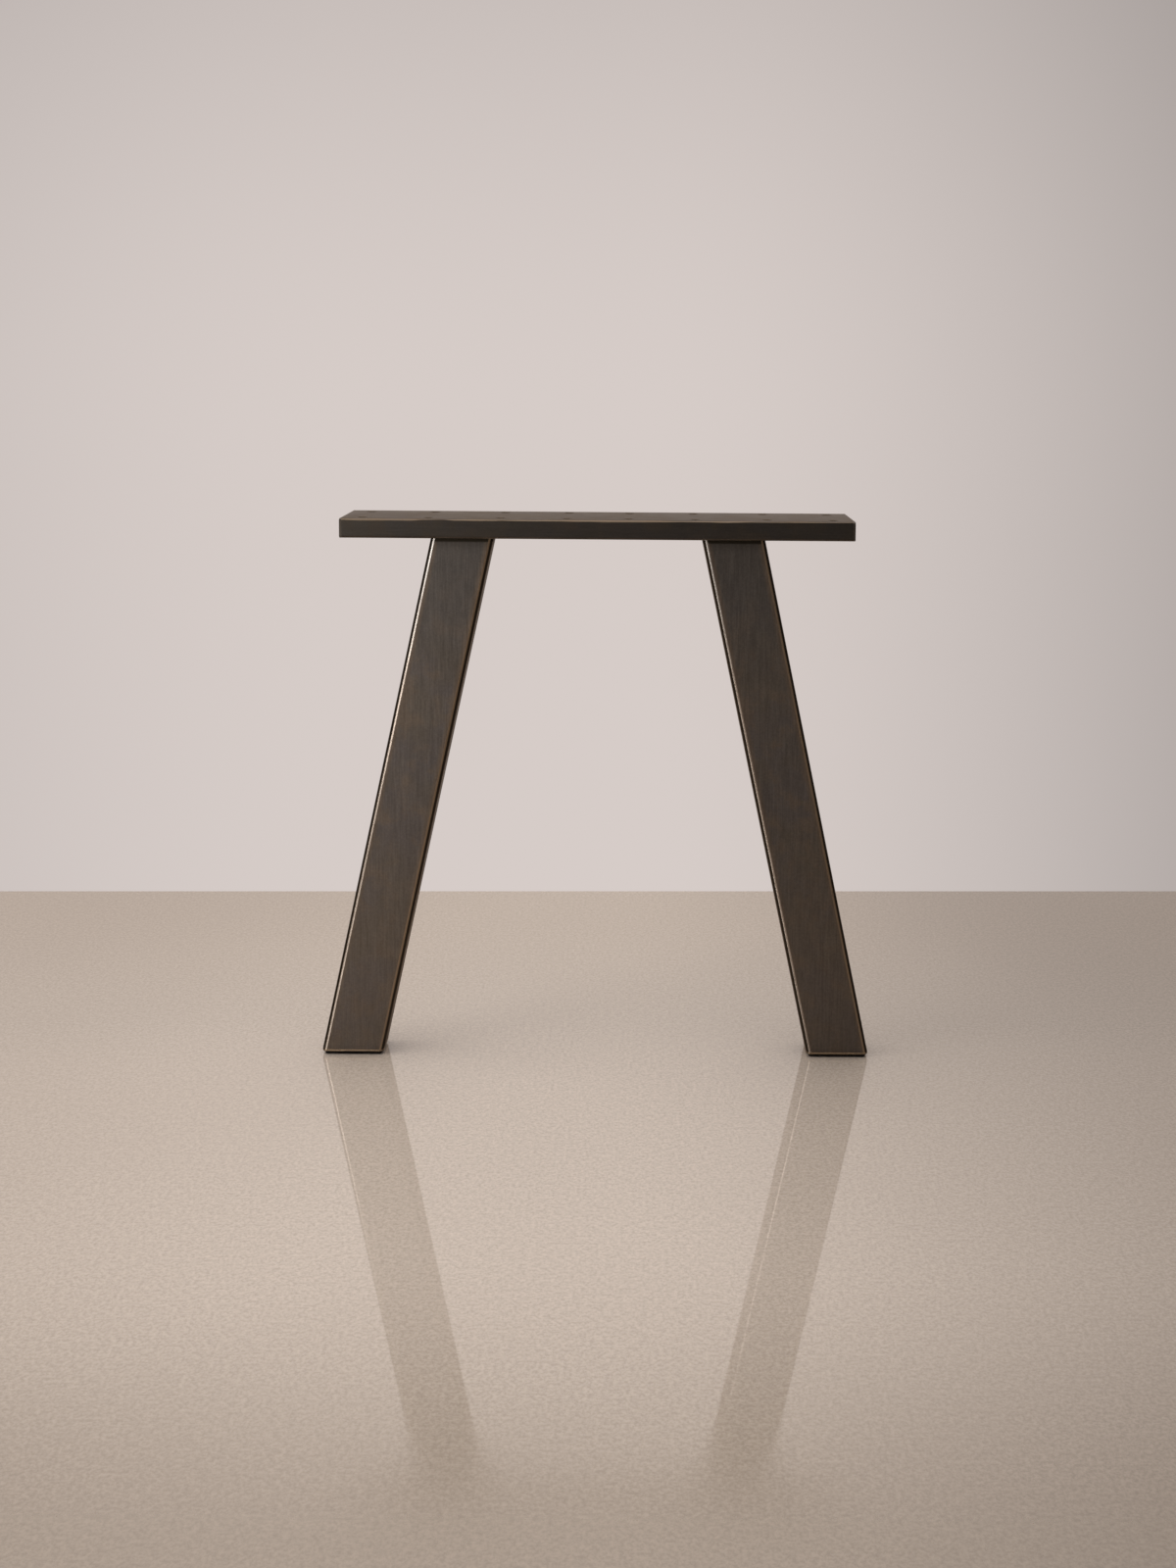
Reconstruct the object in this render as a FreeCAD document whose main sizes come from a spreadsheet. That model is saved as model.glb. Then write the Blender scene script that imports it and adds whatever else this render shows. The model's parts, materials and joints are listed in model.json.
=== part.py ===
import FreeCAD, Part
import math
import os

import Sketcher

# Trestle table leg: a flat drilled top rail on two splayed rectangular tubes with closed, padded feet.
# X runs along the rail, Y across it and Z up. The origin is on the floor, midway between the feet.
# Sizes are in millimetres and degrees.

DRIVING_SIZES = [
    ("overall_height", 720, "floor to the top of the rail"),
    ("rail_length", 660, "end to end, end plates included"),
    ("rail_width", 120, "front to back"),
    ("rail_height", 25, "underside to top"),
    ("rail_wall", 2.5, "wall of the rail's tube"),
    ("rail_bend", 0.75, "inside corner radius of the rail's tube"),
    ("end_plate_thickness", 3, "plates that close the rail's ends"),
    ("end_plate_edge", 0.5, "chamfer round the end plates' outer faces"),
    ("hole_diameter", 9.5, "screw holes through both walls of the rail"),
    ("hole_deburr", 0.4, "chamfer on the holes' outer rims"),
    ("hole_row_spacing", 80, "front row to back row"),
    ("hole_pitch", 85, "along a row, either side of a leg"),
    ("hole_pitch_middle", 80, "along a row, across the rail's middle"),
    ("hole_end_margin", 27, "last hole to the rail's end"),
    ("leg_width", 80, "face of the leg's tube, square to its axis"),
    ("leg_depth", 50, "front to back"),
    ("leg_wall", 3, "wall of the leg's tube"),
    ("leg_bend", 3, "inside corner radius of the leg's tube"),
    ("leg_splay", 12, "lean of each leg from upright, in degrees"),
    ("foot_span", 726, "across the outer corners of the two feet"),
    ("base_plate_thickness", 3, "plates that close the legs' feet"),
    ("base_plate_edge", 1, "chamfer along the base plate's lower edge"),
    ("pad_thickness", 4, "foot pads, floor to base plate"),
    ("pad_inset", 3.5, "pad's edge behind the base plate's edge"),
    ("pad_edge", 0.8, "chamfer along the pad's lower edge"),
]

# Sizes that several pieces share, worked out from the sheet
RAIL_CORNER = "Sizes.rail_bend + Sizes.rail_wall"
RAIL_UNDERSIDE = "Sizes.overall_height - Sizes.rail_height"
LEG_CORNER = "Sizes.leg_bend + Sizes.leg_wall"
LEG_FOOT = "Sizes.pad_thickness + Sizes.base_plate_thickness"
SPLAY_COSINE = "cos(Sizes.leg_splay * 1 deg)"
FOOT_WIDTH = f"Sizes.leg_width / {SPLAY_COSINE}"
FOOT_CENTRE = f"(Sizes.foot_span - {FOOT_WIDTH}) / 2"

SIDES = {"left": -1, "right": 1}
ORIGIN = (-1, 1)
HORIZONTAL_AXIS = -1
START, END, CENTRE = 1, 2, 3
SAME_PLACE = 0.001

doc = FreeCAD.newDocument("trestle_table_leg")
sheet = doc.addObject("Spreadsheet::Sheet", "Sizes")
for row, (alias, value, meaning) in enumerate(DRIVING_SIZES, start=1):
    sheet.set(f"A{row}", meaning)
    sheet.set(f"B{row}", str(value))
    sheet.setAlias(f"B{row}", alias)
doc.recompute()


def worked_out(expression):
    """The number that an expression on the sheet comes to now."""
    return float(sheet.evalExpression(expression))


def new_body(label):
    body = doc.addObject("PartDesign::Body", label)
    body.Label = label
    return body


def new_sketch(body, name, plane_role):
    """An empty sketch on one of the body's own origin planes."""
    sketch = body.newObject("Sketcher::SketchObject", name)
    plane = next(item for item in body.Origin.OriginFeatures if item.Role == plane_role)
    sketch.AttachmentSupport = [(plane, "")]
    sketch.MapMode = "FlatFace"
    return sketch


def bind(sketch, constraint, name, expression):
    """Adds a constraint of a size and ties that size to the sheet."""
    index = sketch.addConstraint(constraint)
    sketch.renameConstraint(index, name)
    sketch.setExpression(f"Constraints.{name}", expression)


def extrude(body, kind, sketch, length, symmetric=False):
    """A pad or a pocket of the sketch, to a length tied to the sheet."""
    feature = body.newObject(f"PartDesign::{kind}", f"{sketch.Name}_{kind.lower()}")
    feature.Profile = sketch
    feature.SideType = "Symmetric" if symmetric else "One side"
    feature.setExpression("Length", length)
    sketch.Visibility = False
    doc.recompute()
    return feature


def dress(body, kind, base, name, edges, size):
    """A fillet or a chamfer on the chosen edges of the feature before it."""
    feature = body.newObject(f"PartDesign::{kind}", name)
    numbers = [number for number, edge in enumerate(base.Shape.Edges, start=1) if edges(edge)]
    feature.Base = (base, [f"Edge{number}" for number in numbers])
    feature.setExpression("Radius" if kind == "Fillet" else "Size", size)
    doc.recompute()
    return feature


def rounded_rectangle(sketch, name, width, height, corner):
    """A rectangle with round corners about the sketch's origin."""
    radius = worked_out(corner)
    run_x = worked_out(width) / 2 - radius
    run_y = worked_out(height) / 2 - radius
    turns = [(1, -1), (1, 1), (-1, 1), (-1, -1)]
    lines, arcs = [], []
    for quarter, (side_x, side_y) in enumerate(turns):
        middle = FreeCAD.Vector(side_x * run_x, side_y * run_y, 0)
        circle = Part.Circle(middle, FreeCAD.Vector(0, 0, 1), radius)
        first_angle = (quarter - 1) * math.pi / 2
        arcs.append(Part.ArcOfCircle(circle, first_angle, first_angle + math.pi / 2))
    for quarter in range(4):
        before = arcs[quarter - 1]
        lines.append(Part.LineSegment(before.EndPoint, arcs[quarter].StartPoint))
    lines = [sketch.addGeometry(line) for line in lines]
    arcs = [sketch.addGeometry(arc) for arc in arcs]
    for quarter in range(4):
        following = lines[(quarter + 1) % 4]
        sketch.addConstraint(Sketcher.Constraint("Tangent", lines[quarter], END, arcs[quarter], START))
        sketch.addConstraint(Sketcher.Constraint("Tangent", arcs[quarter], END, following, START))
        level = "Vertical" if quarter % 2 else "Horizontal"
        sketch.addConstraint(Sketcher.Constraint(level, lines[quarter]))
    for arc in arcs[1:]:
        sketch.addConstraint(Sketcher.Constraint("Equal", arcs[0], arc))
    low, right, high, left = lines
    sketch.addConstraint(Sketcher.Constraint("Symmetric", low, START, high, START, *ORIGIN))
    across = Sketcher.Constraint("DistanceX", left, START, right, START, worked_out(width))
    upward = Sketcher.Constraint("DistanceY", low, START, high, START, worked_out(height))
    bind(sketch, across, f"{name}_width", width)
    bind(sketch, upward, f"{name}_height", height)
    bind(sketch, Sketcher.Constraint("Radius", arcs[0], radius), f"{name}_corner", corner)


def leaning_outline(sketch, side, reach, width):
    """A leg's front outline: level ends at the foot and at the rail, and two parallel leaning sides."""
    foot, top = worked_out(LEG_FOOT), worked_out(RAIL_UNDERSIDE)
    lean = math.tan(math.radians(worked_out("Sizes.leg_splay"))) * (top - foot)
    outer_x, across = worked_out(reach), worked_out(f"({width}) / {SPLAY_COSINE}")
    corners = [(outer_x, foot), (outer_x - lean, top), (outer_x - lean - across, top), (outer_x - across, foot)]
    points = [FreeCAD.Vector(side * x, z, 0) for x, z in corners]
    outer, head, inner, base = [
        sketch.addGeometry(Part.LineSegment(points[i], points[(i + 1) % 4])) for i in range(4)
    ]
    for line, following in ((outer, head), (head, inner), (inner, base), (base, outer)):
        sketch.addConstraint(Sketcher.Constraint("Coincident", line, END, following, START))
    sketch.addConstraint(Sketcher.Constraint("Horizontal", head))
    sketch.addConstraint(Sketcher.Constraint("Horizontal", base))
    sketch.addConstraint(Sketcher.Constraint("Parallel", outer, inner))
    ends = (ORIGIN, (outer, START)) if side > 0 else ((outer, START), ORIGIN)
    lean_angle = f"(90 + {side} * Sizes.leg_splay) * 1 deg"
    angle = math.radians(90 + side * worked_out("Sizes.leg_splay"))
    bind(sketch, Sketcher.Constraint("DistanceX", *ends[0], *ends[1], outer_x), "reach", reach)
    bind(sketch, Sketcher.Constraint("DistanceY", *ORIGIN, outer, START, foot), "foot", LEG_FOOT)
    bind(sketch, Sketcher.Constraint("DistanceY", *ORIGIN, outer, END, top), "top", RAIL_UNDERSIDE)
    bind(sketch, Sketcher.Constraint("Angle", outer, angle), "lean", lean_angle)
    bind(sketch, Sketcher.Constraint("Distance", inner, START, outer, worked_out(width)), "width", width)


def make_top_rail():
    """Rectangular tube, drilled through both walls in two rows that are the same about its middle."""
    rail = new_body("top_rail")
    rail.setExpression(".Placement.Base.z", "Sizes.overall_height - Sizes.rail_height / 2")
    section = new_sketch(rail, "rail_section", "YZ_Plane")
    rounded_rectangle(section, "outer", "Sizes.rail_width", "Sizes.rail_height", RAIL_CORNER)
    inner_width = "Sizes.rail_width - 2 * Sizes.rail_wall"
    inner_height = "Sizes.rail_height - 2 * Sizes.rail_wall"
    rounded_rectangle(section, "inner", inner_width, inner_height, "Sizes.rail_bend")
    extrude(rail, "Pad", section, "Sizes.rail_length - 2 * Sizes.end_plate_thickness", symmetric=True)

    drilling = new_sketch(rail, "rail_drilling", "XY_Plane")
    drill_half_rail(drilling)
    half = extrude(rail, "Pocket", drilling, "Sizes.rail_height", symmetric=True)
    whole = rail.newObject("PartDesign::Mirrored", "rail_drilling_mirrored")
    whole.Originals = [half]
    middle = next(item for item in rail.Origin.OriginFeatures if item.Role == "YZ_Plane")
    whole.MirrorPlane = (middle, [""])
    rail.Tip = whole
    doc.recompute()

    outer_face = worked_out("Sizes.rail_height") / 2

    def is_outer_rim(edge):
        round_edge = isinstance(edge.Curve, Part.Circle) and edge.isClosed()
        return round_edge and abs(abs(edge.Curve.Center.z) - outer_face) < SAME_PLACE

    dress(rail, "Chamfer", whole, "rail_hole_rims", is_outer_rim, "Sizes.hole_deburr")
    return rail


def drill_half_rail(sketch):
    """The holes right of the rail's middle: two columns inside the leg and two outside it, in two rows."""
    second = "Sizes.hole_pitch_middle / 2 + Sizes.hole_pitch"
    last = "Sizes.rail_length / 2 - Sizes.hole_end_margin"
    columns = {
        "first_column": "Sizes.hole_pitch_middle / 2",
        "second_column": second,
        "third_column": f"{last} - Sizes.hole_pitch",
        "last_column": last,
    }
    row, radius = worked_out("Sizes.hole_row_spacing / 2"), worked_out("Sizes.hole_diameter / 2")
    upright = FreeCAD.Vector(0, 0, 1)
    backs = []
    for name, column in columns.items():
        across = worked_out(column)
        back = sketch.addGeometry(Part.Circle(FreeCAD.Vector(across, row, 0), upright, radius))
        front = sketch.addGeometry(Part.Circle(FreeCAD.Vector(across, -row, 0), upright, radius))
        mirrored = (back, CENTRE, front, CENTRE, HORIZONTAL_AXIS)
        sketch.addConstraint(Sketcher.Constraint("Symmetric", *mirrored))
        sketch.addConstraint(Sketcher.Constraint("Equal", back, front))
        bind(sketch, Sketcher.Constraint("DistanceX", *ORIGIN, back, CENTRE, across), name, column)
        backs.append(back)
    for back in backs[1:]:
        sketch.addConstraint(Sketcher.Constraint("Equal", backs[0], back))
        sketch.addConstraint(Sketcher.Constraint("Horizontal", backs[0], CENTRE, back, CENTRE))
    half_spacing = Sketcher.Constraint("DistanceY", *ORIGIN, backs[0], CENTRE, row)
    bind(sketch, half_spacing, "row", "Sizes.hole_row_spacing / 2")
    bind(sketch, Sketcher.Constraint("Diameter", backs[0], 2 * radius), "diameter", "Sizes.hole_diameter")


def make_end_plate(name, side):
    """Flat plate of the rail's own outline, flush over one end, with a ground outer edge."""
    plate = new_body(f"{name}_end_plate")
    outer = "Sizes.rail_length / 2"
    near_face = f"-{outer}" if side < 0 else f"{outer} - Sizes.end_plate_thickness"
    plate.setExpression(".Placement.Base.x", near_face)
    plate.setExpression(".Placement.Base.z", "Sizes.overall_height - Sizes.rail_height / 2")
    outline = new_sketch(plate, f"{name}_end_outline", "YZ_Plane")
    rounded_rectangle(outline, "end", "Sizes.rail_width", "Sizes.rail_height", RAIL_CORNER)
    blank = extrude(plate, "Pad", outline, "Sizes.end_plate_thickness")
    outer_face = 0 if side < 0 else worked_out("Sizes.end_plate_thickness")

    def on_outer_face(edge):
        return all(abs(corner.Point.x - outer_face) < SAME_PLACE for corner in edge.Vertexes)

    dress(plate, "Chamfer", blank, f"{name}_end_rim", on_outer_face, "Sizes.end_plate_edge")
    return plate


def make_leg(name, side):
    """Rectangular tube leaning outwards, cut level where it meets the rail and the base plate."""
    leg = new_body(f"{name}_leg")
    front = new_sketch(leg, f"{name}_leg_outline", "XZ_Plane")
    leaning_outline(front, side, "Sizes.foot_span / 2", "Sizes.leg_width")
    solid = extrude(leg, "Pad", front, "Sizes.leg_depth", symmetric=True)

    inside = new_sketch(leg, f"{name}_leg_inside", "XZ_Plane")
    inner_reach = f"Sizes.foot_span / 2 - Sizes.leg_wall / {SPLAY_COSINE}"
    leaning_outline(inside, side, inner_reach, "Sizes.leg_width - 2 * Sizes.leg_wall")
    tube = extrude(leg, "Pocket", inside, "Sizes.leg_depth - 2 * Sizes.leg_wall", symmetric=True)
    if tube.Shape.Volume >= solid.Shape.Volume:
        raise RuntimeError(f"{name}_leg is not hollow")

    def long_edge_at(half_depth):
        """Picks the edges that run the leg's length at this distance either side of its middle."""

        def picks(edge):
            first, last = edge.Vertexes[0].Point, edge.Vertexes[-1].Point
            rises = abs(first.z - last.z) > SAME_PLACE
            return rises and abs(abs(first.y) - half_depth) < SAME_PLACE

        return picks

    outer_edges = long_edge_at(worked_out("Sizes.leg_depth / 2"))
    inner_edges = long_edge_at(worked_out("Sizes.leg_depth / 2 - Sizes.leg_wall"))
    rounded = dress(leg, "Fillet", tube, f"{name}_leg_corners", outer_edges, LEG_CORNER)
    dress(leg, "Fillet", rounded, f"{name}_leg_bends", inner_edges, "Sizes.leg_bend")
    return leg


def lies_lowest(edge):
    """Picks the edges round the underside of a piece that was drawn on its own level plane."""
    return edge.BoundBox.ZMax < SAME_PLACE


def make_base_plate(name, side):
    """Flat plate of the leg's own level section, closing its foot, with a ground lower edge."""
    plate = new_body(f"{name}_base_plate")
    plate.setExpression(".Placement.Base.x", f"{side} * {FOOT_CENTRE}")
    plate.setExpression(".Placement.Base.z", "Sizes.pad_thickness")
    outline = new_sketch(plate, f"{name}_base_outline", "XY_Plane")
    rounded_rectangle(outline, "base", FOOT_WIDTH, "Sizes.leg_depth", LEG_CORNER)
    blank = extrude(plate, "Pad", outline, "Sizes.base_plate_thickness")
    dress(plate, "Chamfer", blank, f"{name}_base_lower_edge", lies_lowest, "Sizes.base_plate_edge")
    return plate


def make_foot_pad(name, side):
    """Thin pad under the base plate, set in from its edge all round, with a cut lower edge."""
    pad = new_body(f"{name}_foot_pad")
    pad.setExpression(".Placement.Base.x", f"{side} * {FOOT_CENTRE}")
    outline = new_sketch(pad, f"{name}_pad_outline", "XY_Plane")
    pad_width = f"{FOOT_WIDTH} - 2 * Sizes.pad_inset"
    pad_depth = "Sizes.leg_depth - 2 * Sizes.pad_inset"
    rounded_rectangle(outline, "pad", pad_width, pad_depth, f"{LEG_CORNER} - Sizes.pad_inset")
    blank = extrude(pad, "Pad", outline, "Sizes.pad_thickness")
    dress(pad, "Chamfer", blank, f"{name}_pad_lower_edge", lies_lowest, "Sizes.pad_edge")
    return pad


pieces = [make_top_rail()]
for side_name, side_sign in SIDES.items():
    pieces.append(make_end_plate(side_name, side_sign))
    pieces.append(make_leg(side_name, side_sign))
    pieces.append(make_base_plate(side_name, side_sign))
    pieces.append(make_foot_pad(side_name, side_sign))
doc.recompute()

for item in doc.Objects:
    if "Invalid" in item.State or "Error" in item.State:
        raise RuntimeError(f"{item.Label} did not build: {item.State}")
for piece in pieces:
    if piece.Shape.isNull() or not piece.Shape.isValid() or len(piece.Shape.Solids) != 1:
        raise RuntimeError(f"{piece.Label} is not one sound solid")

os.makedirs("parts", exist_ok=True)
for piece in pieces:
    piece.Shape.exportStep(os.path.join("parts", f"{piece.Label}.step"))
    box = piece.Shape.BoundBox
    corners = [round(v, 2) for v in (box.XMin, box.XMax, box.YMin, box.YMax, box.ZMin, box.ZMax)]
    print(f"{piece.Label}: {piece.Shape.Volume:.0f} mm3, box {corners}")
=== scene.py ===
import json
import math

import bmesh
import bpy
from mathutils import Matrix, Vector


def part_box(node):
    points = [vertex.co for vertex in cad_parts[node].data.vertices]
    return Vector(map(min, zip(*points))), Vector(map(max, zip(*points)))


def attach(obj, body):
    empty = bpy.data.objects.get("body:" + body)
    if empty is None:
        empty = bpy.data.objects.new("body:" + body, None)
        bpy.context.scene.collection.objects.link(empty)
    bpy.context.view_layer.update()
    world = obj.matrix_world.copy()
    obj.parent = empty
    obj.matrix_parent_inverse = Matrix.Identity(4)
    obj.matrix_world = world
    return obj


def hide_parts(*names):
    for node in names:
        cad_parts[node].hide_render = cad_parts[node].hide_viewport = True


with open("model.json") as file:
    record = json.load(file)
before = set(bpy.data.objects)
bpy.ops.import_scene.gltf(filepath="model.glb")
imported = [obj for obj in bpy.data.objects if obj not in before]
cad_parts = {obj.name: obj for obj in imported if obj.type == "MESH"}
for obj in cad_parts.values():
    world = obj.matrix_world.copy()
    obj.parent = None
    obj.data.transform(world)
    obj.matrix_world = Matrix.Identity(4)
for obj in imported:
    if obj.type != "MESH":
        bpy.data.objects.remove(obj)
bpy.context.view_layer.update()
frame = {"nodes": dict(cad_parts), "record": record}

# Object
# Sizes are in metres, in the frame of the CAD model: X along the rail, Y across it, Z up.

MM = 0.001
ALONG, ACROSS, UP = (1, 0, 0), (0, 1, 0), (0, 0, 1)
AXES = (ALONG, ACROSS, UP)
SIDES = {"left": -1, "right": 1}

LEG_SPLAY = math.radians(12)
LEG_WIDTH = 80 * MM
LEG_WALL = 3 * MM
LEG_CORNER = 6 * MM
LEG_HEAD_BREAK = 0.8 * MM
RAIL_WALL = 2.5 * MM
RAIL_CORNER = 3.25 * MM
RAIL_STATION = 4 * MM
HOLE_BREAK = 0.4 * MM
HOLE_STEPS = 48

QUARTER_TURN = math.pi / 2
QUARTERS = [(1, 1), (-1, 1), (-1, -1), (1, -1)]
CORNER_STEPS = 12

SHARP_ANGLE = math.radians(32)
FLAT_SIDE = 6 * MM
QUAD_EDGES = 4

# How far down the rail's front the dressed upper edge reaches, at places along the rail, in millimetres
DRESSED_EDGE = [
    (-327, 2.4),
    (-312, 3.6),
    (-270, 4.4),
    (-244, 4.0),
    (-222, 1.3),
    (-198, 0.8),
    (-178, 3.0),
    (-157, 4.2),
    (-138, 3.0),
    (-122, 1.9),
    (-100, 2.9),
    (-48, 2.5),
    (-20, 4.1),
    (2, 4.4),
    (36, 3.4),
    (60, 3.5),
    (108, 1.9),
    (142, 2.2),
    (164, 3.1),
    (196, 1.6),
    (262, 1.6),
    (327, 1.2),
]


def rounded_corner(middle, reach, first):
    """Points round a quarter of an ellipse, from its first angle on."""
    points = []
    for step in range(CORNER_STEPS + 1):
        angle = first + QUARTER_TURN * step / CORNER_STEPS
        x = middle[0] + reach[0] * math.cos(angle)
        y = middle[1] + reach[1] * math.sin(angle)
        points.append((x, y))
    return points


def rounded_loop(half_width, half_height, corner, falls=None):
    """A rectangle with round corners about the origin, in order; falls are the heights of its corners."""
    falls = falls or [corner] * len(QUARTERS)
    loop = []
    for quarter, ((side_x, side_y), fall) in enumerate(zip(QUARTERS, falls)):
        middle = (side_x * (half_width - corner), side_y * (half_height - fall))
        loop += rounded_corner(middle, (corner, fall), quarter * QUARTER_TURN)
    return loop


def add_rings(mesh, rings, closed=False):
    """Faces between rings of points, each joined to the next, and the last to the first in a closed set."""
    rows = [[mesh.verts.new(point) for point in ring] for ring in rings]
    pairs = list(zip(rows, rows[1:]))
    if closed:
        pairs.append((rows[-1], rows[0]))
    for low, high in pairs:
        count = len(low)
        for i in range(count):
            j = (i + 1) % count
            mesh.faces.new((low[i], low[j], high[j], high[i]))
    return rows


def shade(mesh):
    """Smooth faces on roundings, flat shading on broad plane faces and sharp edges between them."""
    for face in mesh.faces:
        longest = max(edge.calc_length() for edge in face.edges)
        broad = len(face.edges) > QUAD_EDGES or face.calc_area() > FLAT_SIDE * longest
        face.smooth = not broad
    for edge in mesh.edges:
        if len(edge.link_faces) == 2:
            edge.smooth = edge.calc_face_angle(math.pi) < SHARP_ANGLE


def add_object(name, mesh):
    """Turns the mesh into an object in the scene."""
    data = bpy.data.meshes.new(name)
    mesh.to_mesh(data)
    mesh.free()
    made = bpy.data.objects.new(name, data)
    bpy.context.scene.collection.objects.link(made)
    return made


def add_piece(name, mesh, slot, *nodes):
    """Makes an object of the mesh, riding on the part in place of the CAD nodes it stands for."""
    bmesh.ops.recalc_face_normals(mesh, faces=mesh.faces)
    shade(mesh)
    piece = add_object(name, mesh)
    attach(piece, "root")
    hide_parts(*nodes)
    return piece


def leg_reach(low, high):
    """How far a leg's box reaches from the part's middle."""
    return max(abs(low.x), abs(high.x))


def make_leg(side_name, side):
    """The leg's tube with finely rounded long edges and a broken edge where it meets the rail."""
    node = f"{side_name}_leg"
    low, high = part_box(node)
    slant = 1 / math.cos(LEG_SPLAY)
    centre_at_foot = leg_reach(low, high) - LEG_WIDTH / 2 * slant

    def loop(inset):
        return rounded_loop(LEG_WIDTH / 2 - inset, high.y - inset, LEG_CORNER - inset)

    def ring(inset, z):
        centre = centre_at_foot - (z - low.z) * math.tan(LEG_SPLAY)
        return [(side * (centre + u * slant), v, z) for u, v in loop(inset)]

    rings = [
        ring(LEG_WALL, low.z),
        ring(0, low.z),
        ring(0, high.z - LEG_HEAD_BREAK),
        ring(LEG_HEAD_BREAK, high.z),
        ring(LEG_WALL, high.z),
    ]
    mesh = bmesh.new()
    add_rings(mesh, rings, closed=True)
    return add_piece(f"{side_name}_leg_tube", mesh, "bronzed_steel", node)


def dressed_depth(x):
    """Depth of the dressed front edge at a place along the rail, eased between the named places."""
    x = min(max(x / MM, DRESSED_EDGE[0][0]), DRESSED_EDGE[-1][0])
    for (x0, depth0), (x1, depth1) in zip(DRESSED_EDGE, DRESSED_EDGE[1:]):
        if x <= x1:
            share = (x - x0) / (x1 - x0)
            eased = share * share * (3 - 2 * share)
            return (depth0 + (depth1 - depth0) * eased) * MM
    return DRESSED_EDGE[-1][1] * MM


def rail_section(half_width, half_height, depth):
    """The rail's outline across its length: three even corners, and the dressed one at the upper front."""
    falls = [RAIL_CORNER, depth, RAIL_CORNER, RAIL_CORNER]
    return rounded_loop(half_width, half_height, RAIL_CORNER, falls)


def hole_places():
    """Centres and radius of the screw holes, from the record's mounts."""
    places, radius = [], 0
    for mount in frame["record"]["mounts"]:
        if mount["kind"] == "bolt_pattern":
            dims = mount["dims"]
            radius = dims["hole_r_mm"] * MM
            for side_x in (-1, 1):
                for side_y in (-1, 1):
                    x = mount["pos_m"][0] + side_x * dims["spacing_x_mm"] * MM / 2
                    y = mount["pos_m"][1] + side_y * dims["spacing_y_mm"] * MM / 2
                    places.append((x, y))
    return places, radius


def hole_cutter(low_z, high_z):
    """Spindles that drill the rail through both walls and break the rims of the holes."""
    places, radius = hole_places()
    flare = radius + 2 * HOLE_BREAK
    profile = [
        (flare, low_z - HOLE_BREAK),
        (radius, low_z + HOLE_BREAK),
        (radius, high_z - HOLE_BREAK),
        (flare, high_z + HOLE_BREAK),
    ]
    angles = [2 * math.pi * step / HOLE_STEPS for step in range(HOLE_STEPS)]
    mesh = bmesh.new()
    for x, y in places:
        rings = [[(x + r * math.cos(a), y + r * math.sin(a), z) for a in angles] for r, z in profile]
        rows = add_rings(mesh, rings)
        mesh.faces.new(list(reversed(rows[0])))
        mesh.faces.new(rows[-1])
    bmesh.ops.recalc_face_normals(mesh, faces=mesh.faces)
    return add_object("hole_cutter", mesh)


def rail_blank(low, high):
    """The rail's tube with the unevenly dressed upper front edge, before it is drilled."""
    half_width, half_height = high.y, (high.z - low.z) / 2
    middle_z = (low.z + high.z) / 2
    stations = round((high.x - low.x) / RAIL_STATION)
    xs = [low.x + (high.x - low.x) * i / stations for i in range(stations + 1)]
    bore = rounded_loop(half_width - RAIL_WALL, half_height - RAIL_WALL, RAIL_CORNER - RAIL_WALL)
    sections = [(low.x, bore)]
    sections += [(x, rail_section(half_width, half_height, dressed_depth(x))) for x in xs]
    sections += [(high.x, bore)]
    mesh = bmesh.new()
    add_rings(mesh, [[(x, y, z + middle_z) for y, z in loop] for x, loop in sections], closed=True)
    bmesh.ops.recalc_face_normals(mesh, faces=mesh.faces)
    return add_object("rail_blank", mesh)


def make_rail():
    """The rail's tube with its screw holes drilled."""
    low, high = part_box("top_rail")
    blank = rail_blank(low, high)
    cutter = hole_cutter(low.z, high.z)
    drill = blank.modifiers.new("drill", "BOOLEAN")
    drill.operation = "DIFFERENCE"
    drill.solver = "EXACT"
    drill.object = cutter
    bpy.context.view_layer.update()
    drilled = blank.evaluated_get(bpy.context.evaluated_depsgraph_get()).to_mesh()
    mesh = bmesh.new()
    mesh.from_mesh(drilled)
    for helper in (blank, cutter):
        bpy.data.objects.remove(helper)
    return add_piece("top_rail_tube", mesh, "bronzed_steel", "top_rail")


legs = {name: make_leg(name, side) for name, side in SIDES.items()}
rail = make_rail()

# Materials

MIX_FIRST, MIX_SECOND, MIX_RESULT = 6, 7, 2


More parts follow.
